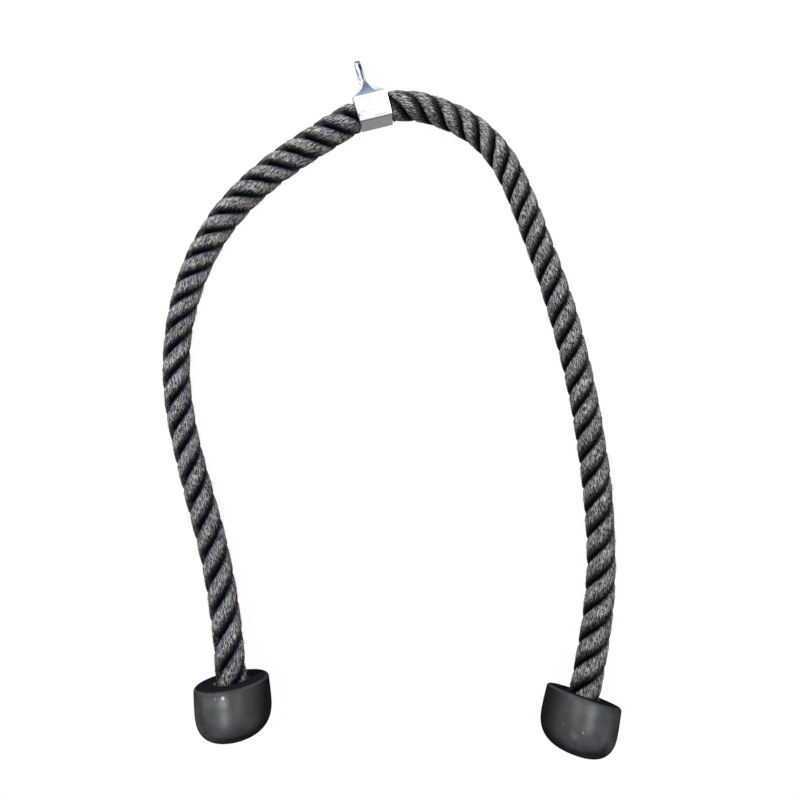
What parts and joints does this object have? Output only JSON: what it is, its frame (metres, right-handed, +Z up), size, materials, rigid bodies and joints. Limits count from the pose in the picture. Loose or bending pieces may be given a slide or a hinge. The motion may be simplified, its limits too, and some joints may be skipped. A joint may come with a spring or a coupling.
{
  "type": "triceps rope",
  "caption": "Laid rope held at its middle by a polished clamp with an eye for a snap hook, with a domed rubber stop on the end of each leg.",
  "frame": {"origin": "middle of the back face of the clamp's sleeve, which rests on the table", "axes": "+X along the rope through the clamp, +Y from the sleeve towards the eye, away from the legs, +Z up from the table"},
  "size_m": [0.4056, 0.632, 0.0681],
  "materials": {
    "polished_metal": "polished, with fine handling scratches",
    "rope": "black laid fibre with grey fibre ends",
    "rubber": "satin moulded rubber",
    "zinc_plate": "zinc plated",
    "ferrule_metal": "pressed"
  },
  "bodies": {
    "clamp": {"eye_clamp": "polished_metal", "rope_in_clamp": "rope"},
    "left_leg": {"rope_bend_left": "rope", "rope_leg_left": "rope", "rope_end_left": "rope", "rubber_end_left": "rubber", "washer_left": "zinc_plate", "ferrule_left": "ferrule_metal"},
    "right_leg": {"rope_bend_right": "rope", "rope_leg_right": "rope", "rope_end_right": "rope", "rubber_end_right": "rubber", "washer_right": "zinc_plate", "ferrule_right": "ferrule_metal"}
  },
  "joints": [
    {"name": "left_leg_spread", "type": "hinge", "parent": "clamp", "child": "left_leg", "pos_m": [-0.06745, -0.0163, 0.0132], "axis": [0, 0, -1], "range_deg": [-12, 50], "deforming": ["rope_bend_left"]},
    {"name": "right_leg_spread", "type": "hinge", "parent": "clamp", "child": "right_leg", "pos_m": [0.06502, -0.02058, 0.0132], "axis": [0, 0, 1], "range_deg": [-12, 70], "deforming": ["rope_bend_right"]}
  ]
}
